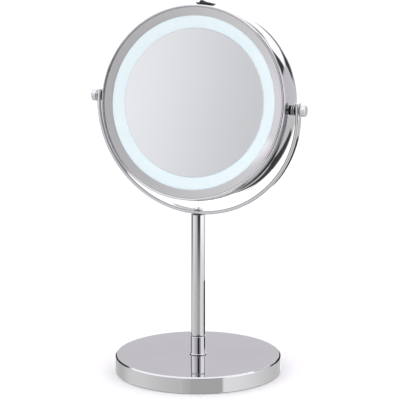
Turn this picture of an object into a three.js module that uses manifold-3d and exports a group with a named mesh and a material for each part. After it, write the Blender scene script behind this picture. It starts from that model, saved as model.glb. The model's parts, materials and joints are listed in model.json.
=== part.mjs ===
// Lighted table-top vanity mirror: a round two-sided mirror head that turns in a half-ring
// yoke on a post and a weighted round base. Millimetres, +Z up, the front of the head faces -Y.
// The origin is on the standing surface, under the post.

import * as THREE from "three";
import { mergeVertices } from "three/addons/utils/BufferGeometryUtils.js";
import Module from "manifold-3d";

const wasm = await Module();
wasm.setup();

// ---------------------------------------------------------------- driving dimensions

const FIT = 0.3; // clearance between pieces that touch
const CUT = 20; // how far a bore or a window runs past the wall it goes through
const WELD = 1e-4; // points closer than this are one point

// stand
const PIVOT_HEIGHT = 242.2;
const BASE_RADIUS = 73.4;
const BASE_HEIGHT = 15.1;
const BASE_EDGE = 1.1; // bevel of the top edge
const BASE_WALL = 1.2;
const BASE_LIFT = 0.5; // the cover's rim above the standing surface
const PAD_THICKNESS = 1.2;
const WEIGHT_THICKNESS = 6;
const WEIGHT_HUB_RADIUS = 14;
const POST_RADIUS = 6.3;
const POST_WALL = 1.5;
const COLLAR_HEIGHT = 17;
const COLLAR_RADIUS = 6.6;
const COLLAR_FOOT_RADIUS = 7.4;
const COLLAR_FOOT_HEIGHT = 1;
const INSERT_LENGTH = 15;
const BASE_BOLT_RADIUS = 2.5;
const BOLT_HEAD_RADIUS = 4.4;
const BOLT_HEAD_HEIGHT = 3.2;
const WASHER_RADIUS = 6;
const WASHER_THICKNESS = 1;

// yoke
const YOKE_THICKNESS = 3.3;
const YOKE_WIDTH = 8.6;
const YOKE_DROP = 4.4; // the ring's centre below the pivot axis
const YOKE_GAP = 5; // between the widest part of the head and the strap, at the pivot
const YOKE_END_RISE = 6.5; // the flat strap ends above the pivot axis
const YOKE_CHAMFER = 1;
const YOKE_SCREW_RADIUS = 2;
const YOKE_SCREW_HEAD_RADIUS = 4;
const YOKE_SCREW_HEAD_HEIGHT = 1.3;

// pivots
const PIVOT_SCREW_RADIUS = 2;
const BUSH_WALL = 1;
const INSERT_WALL = 0.8;
const BOSS_WALL = 0.9;
const BOSS_HALF_HEIGHT = 6;
const BOSS_LENGTH = 8.5;
const KNOB_RADIUS = 5;
const KNOB_LENGTH = 5.2;
const KNOB_NECK_RADIUS = 3.9;
const SPACER_RADIUS = 4.2;
const SPACER_GROOVE = 0.9;

// head
const HEAD_TILT = THREE.MathUtils.degToRad(11.98); // resting tilt, front face upwards
const HEAD_RADIUS = 85;
const FRONT_DEPTH = 15.4; // pivot axis to the crest of the front lip
const REAR_FLARE = 0.6; // how much wider the drum is at the rear
const BARREL_BULGE = 0.8;
const HOUSING_WALL = 2;
const LIP_WIDTH = 1.9;
const LIP_STEP = 1.1; // crest of the lip above the dished frame
const LIP_SHOULDER = 0.7;
const FRAME_WIDTH = 7.4;
const FRAME_SHELL = 1.4;
const LIT_WIDTH = 10.8;
const DISH_SLOPE = 0.209; // rise of the dished frame and lit ring per millimetre of radius
const SEAM_DEPTH = 2.4; // crest of a lip to the drum's seam
const SPIGOT_WALL = 1.4;
const SPIGOT_LENGTH = 4;
const GLASS = 1.8;
const DIFFUSER_WALL = 1.5;
const DIFFUSER_FLANGE = 2.6;
const TRAY_WALL = 1.3;
const BOARD_THICKNESS = 1;
const LED_COUNT = 10;
const LED_SIZE = 3.5;
const LED_HEIGHT = 1;
const TRAY_SCREW_COUNT = 3;
const FIRST_SCREW_ANGLE = Math.PI / 6; // of the tray screws, and of the rear cover's lugs
const LEDGE_WIDTH = 13;
const LEDGE_THICKNESS = 1.2;
const SMALL_SCREW_RADIUS = 1;
const SMALL_HEAD_RADIUS = 1.7;
const SMALL_HEAD_HEIGHT = 1.2;

// rear mirror and its cover
const REAR_CURVATURE = 850; // radius of the concave magnifying mirror
const REAR_OVERLAP = 1.5; // the rear frame's grip on the mirror's edge
const PLATE_WALL = 1.2;
const LUG_COUNT = 3;
const LUG_REACH = 2.2;
const LUG_WIDTH = 16;

// battery bay
const CELL_COUNT = 3;
const CELL_RADIUS = 5.25;
const CELL_LENGTH = 44.5;
const CELL_NUB_RADIUS = 1.9;
const CELL_NUB_LENGTH = 1;
const CELL_HEADROOM = 0.6;
const BAY_WALL = 1.2;
const CONTACT_THICKNESS = 0.6;
const SPRING_LENGTH = 5;
const SPRING_WIRE = 0.5;
const SPRING_TURNS = 3;
const EAR_WIDTH = 10;
const EAR_ANGLE = (3 * Math.PI) / 4;

// switch
const SWITCH_LENGTH = 15;
const SWITCH_WIDTH = 10.5;
const SWITCH_FLANGE = 0.8;
const SWITCH_WALL = 0.7;
const SWITCH_RIM = 1.6;
const SWITCH_BODY_DEPTH = 11;
const ROCKER_WIDTH = 6.4;
const ROCKER_HALF_LENGTH = 5.3;
const ROCKER_SLANT = 1.4; // how far the ends of the rocker lean inwards
const ROCKER_HORN = 2; // ends of the rocker above its axis
const ROCKER_WAIST = 1.5; // middle of the rocker above its axis
const ROCKER_DEPTH = 3.2;
const ROCKER_THROW = THREE.MathUtils.degToRad(14);
const TERMINAL_SPACING = 7;
const TERMINAL_LENGTH = 4.6;
const TERMINAL_WIDTH = 3;
const WIRE_RADIUS = 0.65;
const WIRE_BEND = 4 * WIRE_RADIUS;
const WIRE_HOLE_TURNS = [0.2, 0.36]; // radians from the switch to the two holes in the tray

// facets
const ROUND = 48;
const INNER_ROUND = 36;
const SMALL_ROUND = 12;
const DRUM_STEPS = 5;
const STRAP_STEPS = 30;
const MIRROR_RINGS = 3;
const SPRING_STEPS = 8; // per turn
const SPRING_SIDES = 4;
const WIRE_STEPS = 4; // between two bends
const WIRE_SIDES = 6;
const ROCKER_STEPS = 8;

// ---------------------------------------------------------------- derived places

// along the head's own axis: 0 at the pivot, negative towards the front mirror
const frameInner = HEAD_RADIUS - LIP_WIDTH - FRAME_WIDTH;
const mirrorEdge = frameInner - LIT_WIDTH;
const frameOuter = HEAD_RADIUS - LIP_WIDTH;
const frontFrameOuterY = -FRONT_DEPTH + LIP_STEP;
const frontY = (radius) => frontFrameOuterY + (frameOuter - radius) * DISH_SLOPE;
const glassFrontY = frontY(mirrorEdge);
const trayFrontY = glassFrontY + GLASS + FIT;

const insertRadius = PIVOT_SCREW_RADIUS + FIT + INSERT_WALL;
const bossHalf = insertRadius + FIT + BOSS_WALL;
const ledgeY = -bossHalf;
const channelBackY = ledgeY - FIT;
const channelFloorY = channelBackY - TRAY_WALL;
const boardBackY = channelFloorY - FIT;
const boardFrontY = boardBackY - BOARD_THICKNESS;

const switchHalfWidth = ROCKER_WIDTH / 2 + FIT + SWITCH_WALL;
const switchY = channelBackY + FIT + switchHalfWidth + FIT / 2;

const bayFloorY = trayFrontY + TRAY_WALL + FIT;
const cellY = bayFloorY + BAY_WALL + FIT + CELL_RADIUS;
const plateY = Math.max(cellY + CELL_RADIUS + CELL_HEADROOM, switchY + switchHalfWidth + FIT);
const rearGlassBackY = plateY + PLATE_WALL + FIT;
const rearMirrorRadius = frameInner + REAR_OVERLAP;
const rearSag = (radius) => (radius * radius) / (2 * REAR_CURVATURE);
const rearFrameBackY = rearGlassBackY + GLASS + rearSag(rearMirrorRadius) + FIT;
const rearY = (radius) => rearFrameBackY + FRAME_SHELL + (radius - frameInner) * DISH_SLOPE;
const rearCrestY = rearY(frameOuter) + LIP_STEP;

const seamFrontY = -FRONT_DEPTH + SEAM_DEPTH;
const seamRearY = rearCrestY - SEAM_DEPTH;
const rearRadius = HEAD_RADIUS + REAR_FLARE;

// outer radius of the slightly barrel-shaped drum at a place along the head's axis
function drumRadius(y) {
  const t = (y - seamFrontY) / (seamRearY - seamFrontY);
  return HEAD_RADIUS + REAR_FLARE * t + BARREL_BULGE * 4 * t * (1 - t);
}

const drumAtPivot = drumRadius(0);
const yokeInnerX = drumAtPivot + YOKE_GAP;
const yokeRadius = Math.hypot(yokeInnerX + YOKE_THICKNESS, YOKE_DROP);
const yokeCentreZ = PIVOT_HEIGHT - YOKE_DROP;
const yokeBottomZ = yokeCentreZ - yokeRadius;
const bushRadius = PIVOT_SCREW_RADIUS + FIT + BUSH_WALL;
const knobStartX = yokeInnerX + YOKE_THICKNESS + FIT;
// where the strap's curved inner side stands beside the top of a spacer
const strapBesideSpacerX = Math.sqrt(
  (yokeRadius - YOKE_THICKNESS) ** 2 - (YOKE_DROP + SPACER_RADIUS) ** 2);

const switchFlangeZ = drumRadius(switchY) + FIT;
const switchTopZ = switchFlangeZ + SWITCH_FLANGE;
const rockerAxisZ = switchTopZ - SWITCH_FLANGE / 2;
const switchBottomZ = switchTopZ - SWITCH_BODY_DEPTH;

// ---------------------------------------------------------------- helpers

const object = new THREE.Group();
const head = new THREE.Group();
head.position.z = PIVOT_HEIGHT;
head.rotation.x = -HEAD_TILT;
object.add(head);

const finishes = {
  chrome: { color: 0xc9c9cf, roughness: 0.08, metalness: 1 },
  mirror: { color: 0xdcdde2, roughness: 0.02, metalness: 1 },
  opal: { color: 0xeafaff, roughness: 0.45, metalness: 0, emissive: 0xdff4ff },
  whitePlastic: { color: 0xf0f0ee, roughness: 0.5, metalness: 0 },
  blackPlastic: { color: 0x1b1b1d, roughness: 0.4, metalness: 0 },
  rubber: { color: 0x2a2a2c, roughness: 0.85, metalness: 0 },
  steel: { color: 0x9a9ca0, roughness: 0.35, metalness: 1 },
  brass: { color: 0xc8a45a, roughness: 0.3, metalness: 1 },
  castIron: { color: 0x55565a, roughness: 0.7, metalness: 0.8 },
  board: { color: 0xe8ebe6, roughness: 0.45, metalness: 0 },
  cell: { color: 0x4f7f4a, roughness: 0.35, metalness: 0.2 },
  redWire: { color: 0xb3221f, roughness: 0.5, metalness: 0 },
  blackWire: { color: 0x161616, roughness: 0.5, metalness: 0 },
};

function addMesh(parent, name, geometry, finish) {
  const mesh = new THREE.Mesh(geometry, new THREE.MeshStandardMaterial(finishes[finish]));
  mesh.name = name;
  parent.add(mesh);
  return mesh;
}

function closed(geometry) {
  const bare = geometry.index ? geometry.toNonIndexed() : geometry.clone();
  bare.deleteAttribute("normal");
  bare.deleteAttribute("uv");
  const merged = mergeVertices(bare, WELD);
  const vertProperties = new Float32Array(merged.attributes.position.array);
  const triVerts = new Uint32Array(merged.index.array);
  return new wasm.Manifold(new wasm.Mesh({ numProp: 3, vertProperties, triVerts }));
}

function geometryOf(solid) {
  const mesh = solid.getMesh();
  const geometry = new THREE.BufferGeometry();
  geometry.setAttribute("position", new THREE.BufferAttribute(mesh.vertProperties, 3));
  geometry.setIndex(new THREE.BufferAttribute(mesh.triVerts, 1));
  geometry.computeVertexNormals();
  return geometry;
}

function signedArea(points) {
  return points.reduce((sum, [x, y], i) => {
    const [nextX, nextY] = points[(i + 1) % points.length];
    return sum + (x * nextY - nextX * y) / 2;
  }, 0);
}

// a body of revolution about +Y from [radius, y] pairs; a ring's profile is closed on itself
function turned(profile, sides) {
  const ordered = signedArea(profile) > 0 ? profile : [...profile].reverse();
  const onAxis = ordered.some(([radius]) => radius === 0);
  let points = ordered;
  if (onAxis) {
    const start = ordered.findIndex(([r], i) => r === 0 && ordered.at(i - 1)[0] === 0);
    points = [...ordered.slice(start), ...ordered.slice(0, start)];
  } else {
    points = [...ordered, ordered[0]];
  }
  return new THREE.LatheGeometry(points.map(([r, y]) => new THREE.Vector2(r, y)), sides);
}

// the same with its axis along +Z or +X
const turnedZ = (profile, sides) => turned(profile, sides).rotateX(Math.PI / 2);
const turnedX = (profile, sides) => turned(profile, sides).rotateZ(-Math.PI / 2);

// solid or hollow cylinder profile between two places on its axis
function tubeProfile(outer, inner, from, to) {
  return [[inner, from], [outer, from], [outer, to], [inner, to]];
}

function box(width, depth, height, x, y, z) {
  return new THREE.BoxGeometry(width, depth, height).translate(x, y, z);
}

// places on a circle around the head's axis; the angle runs from +X towards +Z
function onCircle(radius, angle) {
  return [radius * Math.cos(angle), radius * Math.sin(angle)];
}

// evenly spaced angles
function around(count, first) {
  return Array.from({ length: count }, (_, i) => first + (i * 2 * Math.PI) / count);
}

function cut(geometry, ...tools) {
  return geometryOf(tools.reduce((solid, tool) => solid.subtract(closed(tool)), closed(geometry)));
}

function join(...geometries) {
  const [first, ...rest] = geometries.map(closed);
  return rest.reduce((solid, piece) => solid.add(piece), first);
}

// ---------------------------------------------------------------- stand

function makeBase() {
  const underTop = BASE_HEIGHT - BASE_WALL;
  const innerRadius = BASE_RADIUS - BASE_WALL;
  const boltHole = BASE_BOLT_RADIUS + FIT;
  const cover = [
    [innerRadius, BASE_LIFT],
    [BASE_RADIUS, BASE_LIFT],
    [BASE_RADIUS, BASE_HEIGHT - BASE_EDGE],
    [BASE_RADIUS - BASE_EDGE, BASE_HEIGHT],
    [boltHole, BASE_HEIGHT],
    [boltHole, underTop],
    [innerRadius, underTop],
  ];
  addMesh(object, "base_cover", turnedZ(cover, ROUND), "chrome");

  const weightBottom = PAD_THICKNESS + FIT;
  const seatZ = weightBottom + FIT + BOLT_HEAD_HEIGHT + WASHER_THICKNESS + FIT;
  const wellRadius = WASHER_RADIUS + FIT;
  const weightRadius = innerRadius - FIT;
  const weight = [
    [wellRadius, weightBottom],
    [weightRadius, weightBottom],
    [weightRadius, weightBottom + WEIGHT_THICKNESS],
    [WEIGHT_HUB_RADIUS, weightBottom + WEIGHT_THICKNESS],
    [WEIGHT_HUB_RADIUS, underTop - FIT],
    [boltHole, underTop - FIT],
    [boltHole, seatZ],
    [wellRadius, seatZ],
  ];
  addMesh(object, "base_weight", turnedZ(weight, INNER_ROUND), "castIron");

  const pad = tubeProfile(innerRadius - FIT, 0, 0, PAD_THICKNESS);
  addMesh(object, "base_pad", turnedZ(pad, INNER_ROUND), "rubber");

  const washerTop = seatZ - FIT;
  const washerBottom = washerTop - WASHER_THICKNESS;
  const washer = tubeProfile(WASHER_RADIUS, boltHole, washerBottom, washerTop);
  addMesh(object, "base_washer", turnedZ(washer, SMALL_ROUND), "steel");

  const headTop = washerBottom - FIT;
  const boltTop = BASE_HEIGHT + COLLAR_HEIGHT + INSERT_LENGTH - 2 * FIT;
  const bolt = [
    [0, headTop - BOLT_HEAD_HEIGHT + FIT],
    [BOLT_HEAD_RADIUS, headTop - BOLT_HEAD_HEIGHT + FIT],
    [BOLT_HEAD_RADIUS, headTop],
    [BASE_BOLT_RADIUS, headTop],
    [BASE_BOLT_RADIUS, boltTop],
    [0, boltTop],
  ];
  addMesh(object, "base_bolt", turnedZ(bolt, SMALL_ROUND), "steel");
}

function makePost() {
  const boltHole = BASE_BOLT_RADIUS + FIT;
  const collarBottom = BASE_HEIGHT + FIT;
  const collarTop = BASE_HEIGHT + COLLAR_HEIGHT;
  const collar = [
    [boltHole, collarBottom],
    [COLLAR_FOOT_RADIUS, collarBottom],
    [COLLAR_FOOT_RADIUS, collarBottom + COLLAR_FOOT_HEIGHT - FIT],
    [COLLAR_RADIUS, collarBottom + COLLAR_FOOT_HEIGHT],
    [COLLAR_RADIUS, collarTop - FIT],
    [COLLAR_RADIUS - FIT, collarTop],
    [boltHole, collarTop],
  ];
  addMesh(object, "post_collar", turnedZ(collar, SMALL_ROUND * 2), "chrome");

  const tubeBottom = collarTop + FIT;
  const tubeTop = yokeBottomZ - FIT;
  const inner = POST_RADIUS - POST_WALL;
  const tube = [
    [inner, tubeBottom],
    [POST_RADIUS - 2 * FIT, tubeBottom],
    [POST_RADIUS, tubeBottom + 2 * FIT],
    [POST_RADIUS, tubeTop],
    [inner, tubeTop],
  ];
  addMesh(object, "post_tube", turnedZ(tube, SMALL_ROUND * 2), "chrome");

  const insertOuter = inner - FIT;
  const bottomInsert = tubeProfile(insertOuter, boltHole, tubeBottom, tubeBottom + INSERT_LENGTH);
  addMesh(object, "post_insert_bottom", turnedZ(bottomInsert, SMALL_ROUND), "steel");
  const screwHole = YOKE_SCREW_RADIUS + FIT;
  const topInsert = tubeProfile(insertOuter, screwHole, tubeTop - INSERT_LENGTH, tubeTop);
  addMesh(object, "post_insert_top", turnedZ(topInsert, SMALL_ROUND), "steel");
}

function makeYoke() {
  const inner = yokeRadius - YOKE_THICKNESS;
  const endZ = YOKE_DROP + YOKE_END_RISE;
  const outerEnd = Math.asin(endZ / yokeRadius);
  const innerEnd = Math.asin(endZ / inner);
  const outline = new THREE.Shape();
  outline.absarc(0, 0, yokeRadius, Math.PI - outerEnd, outerEnd, false);
  outline.absarc(0, 0, inner, innerEnd, Math.PI - innerEnd, true);
  const strap = new THREE.ExtrudeGeometry(outline, {
    depth: YOKE_WIDTH - 2 * YOKE_CHAMFER,
    bevelThickness: YOKE_CHAMFER,
    bevelSize: YOKE_CHAMFER,
    bevelOffset: -YOKE_CHAMFER,
    bevelSegments: 1,
    curveSegments: STRAP_STEPS,
  });
  strap.translate(0, 0, YOKE_CHAMFER - YOKE_WIDTH / 2);
  strap.rotateX(Math.PI / 2);
  strap.translate(0, 0, yokeCentreZ);

  const span = 2 * (yokeInnerX + YOKE_THICKNESS + CUT);
  const pivotBore = turnedX(tubeProfile(bushRadius + FIT, 0, -span / 2, span / 2), SMALL_ROUND);
  pivotBore.translate(0, 0, PIVOT_HEIGHT);
  const screwHole = tubeProfile(YOKE_SCREW_RADIUS + FIT, 0, -CUT, CUT);
  const screwBore = turnedZ(screwHole, SMALL_ROUND).translate(0, 0, yokeBottomZ);
  addMesh(object, "yoke", cut(strap, pivotBore, screwBore), "chrome");

  const seatZ = yokeBottomZ + YOKE_THICKNESS + FIT;
  const tipZ = yokeBottomZ - INSERT_LENGTH + FIT;
  const screw = [
    [0, tipZ],
    [YOKE_SCREW_RADIUS, tipZ],
    [YOKE_SCREW_RADIUS, seatZ],
    [YOKE_SCREW_HEAD_RADIUS, seatZ],
    [YOKE_SCREW_HEAD_RADIUS, seatZ + YOKE_SCREW_HEAD_HEIGHT / 2],
    [YOKE_SCREW_HEAD_RADIUS - 3 * FIT, seatZ + YOKE_SCREW_HEAD_HEIGHT],
    [0, seatZ + YOKE_SCREW_HEAD_HEIGHT],
  ];
  addMesh(object, "yoke_screw", turnedZ(screw, SMALL_ROUND), "chrome");

  const bush = tubeProfile(
    bushRadius, PIVOT_SCREW_RADIUS + FIT, yokeInnerX, yokeInnerX + YOKE_THICKNESS);
  for (const [side, turn] of [["right", 0], ["left", Math.PI]]) {
    const geometry = turnedX(bush, SMALL_ROUND).rotateZ(turn).translate(0, 0, PIVOT_HEIGHT);
    addMesh(object, `yoke_bush_${side}`, geometry, "blackPlastic");
  }
}

// ---------------------------------------------------------------- pivots, turning with the head

function makePivots() {
  const tipX = drumAtPivot - BOSS_LENGTH + FIT;
  const knobEndX = knobStartX + KNOB_LENGTH;
  const screw = [
    [0, tipX],
    [PIVOT_SCREW_RADIUS, tipX],
    [PIVOT_SCREW_RADIUS, knobStartX],
    [KNOB_NECK_RADIUS, knobStartX],
    [KNOB_NECK_RADIUS, knobStartX + 2 * FIT],
    [KNOB_RADIUS, knobStartX + 4 * FIT],
    [KNOB_RADIUS, knobEndX - 2 * FIT],
    [KNOB_RADIUS - 2 * FIT, knobEndX],
    [0, knobEndX],
  ];
  const insert = tubeProfile(
    insertRadius, PIVOT_SCREW_RADIUS + FIT, tipX, drumAtPivot - HOUSING_WALL - FIT);

  const spacerInner = PIVOT_SCREW_RADIUS + FIT;
  const spacerStart = drumAtPivot + FIT;
  const spacerEnd = Math.min(yokeInnerX, strapBesideSpacerX) - FIT;
  const rib = (spacerEnd - spacerStart) / 5;
  const groove = SPACER_RADIUS - SPACER_GROOVE;
  const spacer = [
    [spacerInner, spacerStart],
    [SPACER_RADIUS, spacerStart],
    [SPACER_RADIUS, spacerStart + rib],
    [groove, spacerStart + rib],
    [groove, spacerStart + 2 * rib],
    [SPACER_RADIUS, spacerStart + 2 * rib],
    [SPACER_RADIUS, spacerStart + 3 * rib],
    [groove, spacerStart + 3 * rib],
    [groove, spacerStart + 4 * rib],
    [SPACER_RADIUS, spacerStart + 4 * rib],
    [SPACER_RADIUS, spacerEnd],
    [spacerInner, spacerEnd],
  ];
  for (const [side, turn] of [["right", 0], ["left", Math.PI]]) {
    const turnedPiece = (profile, sides) => turnedX(profile, sides).rotateZ(turn);
    addMesh(head, `pivot_screw_${side}`, turnedPiece(screw, SMALL_ROUND * 2), "chrome");
    addMesh(head, `pivot_insert_${side}`, turnedPiece(insert, SMALL_ROUND), "brass");
    addMesh(head, `pivot_spacer_${side}`, turnedPiece(spacer, SMALL_ROUND), "rubber");
  }
}

// ---------------------------------------------------------------- head, front

// half profile of a dished frame with a raised lip; sign is -1 at the front and 1 at the rear
function frameProfile(face, seamY, outerRadius, spigotRadius, sign) {
  const crest = face(frameOuter) + sign * LIP_STEP;
  const seam = seamY + sign * FIT;
  const back = (radius) => face(radius) - sign * FRAME_SHELL;
  const spigotInner = spigotRadius - SPIGOT_WALL;
  return [
    [frameInner, face(frameInner)],
    [frameOuter, face(frameOuter)],
    [frameOuter + FIT, crest - sign * FIT],
    [(frameOuter + outerRadius) / 2, crest],
    [outerRadius - FIT, crest - sign * FIT],
    [outerRadius, crest - sign * LIP_SHOULDER],
    [outerRadius, seam],
    [spigotRadius, seam],
    [spigotRadius, seam - sign * SPIGOT_LENGTH],
    [spigotInner, seam - sign * SPIGOT_LENGTH],
    [spigotInner, back(spigotInner)],
    [frameInner, back(frameInner)],
  ];
}

const trayScrewRadius = HEAD_RADIUS - HOUSING_WALL - FIT - SMALL_HEAD_RADIUS - 2 * FIT;
const trayScrewAngles = around(TRAY_SCREW_COUNT, FIRST_SCREW_ANGLE);
const trayRimOuter = trayScrewRadius - SMALL_HEAD_RADIUS - FIT;
const trayRimInner = trayRimOuter - TRAY_WALL;
const boardOuter = trayRimInner - FIT;
const boardInner = mirrorEdge + TRAY_WALL + FIT;
const ledRadius = mirrorEdge + LIT_WIDTH / 2 + FIT;
const wireHoleRadius = mirrorEdge + TRAY_WALL + 2 * WIRE_RADIUS + FIT;
const wireHoleAngles = WIRE_HOLE_TURNS.map((turn) => Math.PI / 2 + turn);

function makeFront() {
  const spigotRadius = HEAD_RADIUS - HOUSING_WALL - FIT;
  const bezel = frameProfile(frontY, seamFrontY, HEAD_RADIUS, spigotRadius, -1);
  addMesh(head, "front_bezel", turned(bezel, ROUND), "chrome");

  const glass = tubeProfile(mirrorEdge - FIT, 0, glassFrontY, glassFrontY + GLASS);
  addMesh(head, "front_mirror", turned(glass, ROUND), "mirror");

  const diffuserEdge = frameInner - FIT;
  const flangeY = frontY(frameInner) + FRAME_SHELL + FIT;
  const flangeEdge = frameInner + DIFFUSER_FLANGE;
  const diffuser = [
    [mirrorEdge, frontY(mirrorEdge)],
    [diffuserEdge, frontY(diffuserEdge)],
    [diffuserEdge, flangeY],
    [flangeEdge, flangeY],
    [flangeEdge, flangeY + DIFFUSER_WALL - FIT],
    [diffuserEdge - FIT, flangeY + DIFFUSER_WALL - FIT],
    [diffuserEdge - DIFFUSER_WALL, frontY(diffuserEdge - DIFFUSER_WALL) + DIFFUSER_WALL],
    [mirrorEdge, frontY(mirrorEdge) + DIFFUSER_WALL],
  ];
  addMesh(head, "diffuser_ring", turned(diffuser, ROUND), "opal");

  const rimFrontY = flangeY + DIFFUSER_WALL;
  const trayOuter = HEAD_RADIUS - HOUSING_WALL - 2 * FIT;
  const tray = [
    [0, trayFrontY],
    [mirrorEdge + TRAY_WALL, trayFrontY],
    [mirrorEdge + TRAY_WALL, channelFloorY],
    [trayRimInner, channelFloorY],
    [trayRimInner, rimFrontY],
    [trayRimOuter, rimFrontY],
    [trayRimOuter, channelFloorY],
    [trayOuter, channelFloorY],
    [trayOuter, channelBackY],
    [mirrorEdge, channelBackY],
    [mirrorEdge, trayFrontY + TRAY_WALL],
    [0, trayFrontY + TRAY_WALL],
  ];
  const holes = trayScrewAngles.map((angle) => screwHole(trayScrewRadius, angle));
  const wireHoles = wireHoleAngles.map((angle) => {
    const [x, z] = onCircle(wireHoleRadius, angle);
    const hole = turned(tubeProfile(WIRE_RADIUS + FIT, 0, channelFloorY - FIT, CUT), SMALL_ROUND);
    return hole.translate(x, 0, z);
  });
  const trayBody = cut(turned(tray, INNER_ROUND), ...holes, ...wireHoles);
  addMesh(head, "reflector_tray", trayBody, "whitePlastic");

  const board = tubeProfile(boardOuter, boardInner, boardFrontY, boardBackY);
  addMesh(head, "led_board", turned(board, INNER_ROUND), "board");

  around(LED_COUNT, Math.PI / LED_COUNT).forEach((angle, i) => {
    const chip = new THREE.BoxGeometry(LED_SIZE, LED_HEIGHT, LED_SIZE);
    chip.rotateY(-angle);
    const [x, z] = onCircle(ledRadius, angle);
    chip.translate(x, boardFrontY - FIT - LED_HEIGHT / 2, z);
    addMesh(head, `led_${String(i + 1).padStart(2, "0")}`, chip, "opal");
  });

  const seatY = channelFloorY - FIT;
  const tipY = ledgeY + 2 * LEDGE_THICKNESS;
  trayScrewAngles.forEach((angle, i) => {
    addMesh(head, `tray_screw_${i + 1}`, smallScrew(trayScrewRadius, angle, seatY, tipY, -1), "steel");
  });
}

function screwHole(radius, angle) {
  const [x, z] = onCircle(radius, angle);
  const hole = turned(tubeProfile(SMALL_SCREW_RADIUS + FIT, 0, -CUT, CUT), SMALL_ROUND);
  return hole.translate(x, 0, z);
}

// small pan-head screw parallel to the head's axis; sign is the way its head points
function smallScrew(radius, angle, seatY, tipY, sign) {
  const top = seatY + sign * SMALL_HEAD_HEIGHT;
  const profile = [
    [0, tipY],
    [SMALL_SCREW_RADIUS, tipY],
    [SMALL_SCREW_RADIUS, seatY],
    [SMALL_HEAD_RADIUS, seatY],
    [SMALL_HEAD_RADIUS, top],
    [0, top],
  ];
  const [x, z] = onCircle(radius, angle);
  return turned(profile, SMALL_ROUND).translate(x, 0, z);
}

// ---------------------------------------------------------------- head, housing

const plateRimInner = rearMirrorRadius + FIT;
const plateRimOuter = plateRimInner + PLATE_WALL;
const lugOuter = plateRimOuter + LUG_REACH;
const rearLedgeY = plateY + PLATE_WALL + FIT;
const lugAngles = around(LUG_COUNT, FIRST_SCREW_ANGLE);
const ledgeInner = drumAtPivot - HOUSING_WALL - LEDGE_WIDTH;
const earScrewRadius = ledgeInner + SMALL_HEAD_RADIUS + 2 * FIT;
const earScrewAngles = [EAR_ANGLE - Math.PI, EAR_ANGLE];

function makeHousing() {
  const places = Array.from({ length: DRUM_STEPS + 1 }, (_, i) =>
    THREE.MathUtils.lerp(seamFrontY, seamRearY, i / DRUM_STEPS));
  const outer = places.map((y) => [drumRadius(y), y]);
  const wallAt = (y) => drumRadius(y) - HOUSING_WALL;
  const ledgeBackY = ledgeY + LEDGE_THICKNESS;
  const inner = [
    [wallAt(seamRearY), seamRearY],
    [wallAt(seamRearY), rearLedgeY + LEDGE_THICKNESS],
    [plateRimOuter + FIT, rearLedgeY + LEDGE_THICKNESS],
    [plateRimOuter + FIT, rearLedgeY],
    [wallAt(0), rearLedgeY],
    [wallAt(0), ledgeBackY],
    [ledgeInner, ledgeBackY],
    [ledgeInner, ledgeY],
    [wallAt(seamFrontY), ledgeY],
    [wallAt(seamFrontY), seamFrontY],
  ];
  const drum = turned([...outer, ...inner], ROUND);

  const bosses = [1, -1].map((side) => {
    const innerX = drumAtPivot - BOSS_LENGTH;
    const outerX = drumAtPivot - HOUSING_WALL / 2;
    const width = outerX - innerX;
    return box(width, 2 * bossHalf, 2 * BOSS_HALF_HEIGHT, side * (innerX + width / 2), 0, 0);
  });

  const reach = drumAtPivot + CUT;
  const screwBore = turnedX(tubeProfile(PIVOT_SCREW_RADIUS + FIT, 0, -reach, reach), SMALL_ROUND);
  const insertReach = drumAtPivot - HOUSING_WALL;
  const insertBore = turnedX(
    tubeProfile(insertRadius + FIT, 0, -insertReach, insertReach), SMALL_ROUND);
  const windowHalf = SWITCH_LENGTH / 2 - SWITCH_RIM / 2 + FIT;
  const switchWindow = box(
    2 * windowHalf, 2 * (switchHalfWidth + FIT), SWITCH_BODY_DEPTH + CUT, 0, switchY, HEAD_RADIUS);
  const trayHoles = trayScrewAngles.map((angle) => screwHole(trayScrewRadius, angle));
  const earHoles = earScrewAngles.map((angle) => screwHole(earScrewRadius, angle));
  const lugSlots = lugAngles.map((angle) => {
    const reachOut = lugOuter + FIT;
    const slot = box(reachOut - ledgeInner, 4 * LEDGE_THICKNESS, LUG_WIDTH + 4 * FIT,
      (reachOut + ledgeInner) / 2, rearLedgeY + LEDGE_THICKNESS / 2, 0);
    return slot.rotateY(-angle);
  });

  const cutters = [screwBore, insertBore, switchWindow, ...trayHoles, ...earHoles, ...lugSlots];
  const body = cutters.reduce(
    (solid, tool) => solid.subtract(closed(tool)), join(drum, ...bosses));
  addMesh(head, "drum_housing", geometryOf(body), "chrome");
}

// ---------------------------------------------------------------- head, batteries

const cellPitch = 2 * (CELL_RADIUS + FIT);
const bayHalfLength = (CELL_LENGTH + SPRING_LENGTH + CONTACT_THICKNESS + 3 * FIT) / 2 + FIT;
const bayHalfWidth = (CELL_COUNT * cellPitch) / 2 + FIT;
const cellRow = (i) => (i - (CELL_COUNT - 1) / 2) * cellPitch;
const cellWay = (i) => (i % 2 === 0 ? 1 : -1);
const plateFaceX = bayHalfLength - FIT - CONTACT_THICKNESS;
const cellTipX = plateFaceX - FIT;
const cellTailX = cellTipX - CELL_LENGTH;

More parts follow.
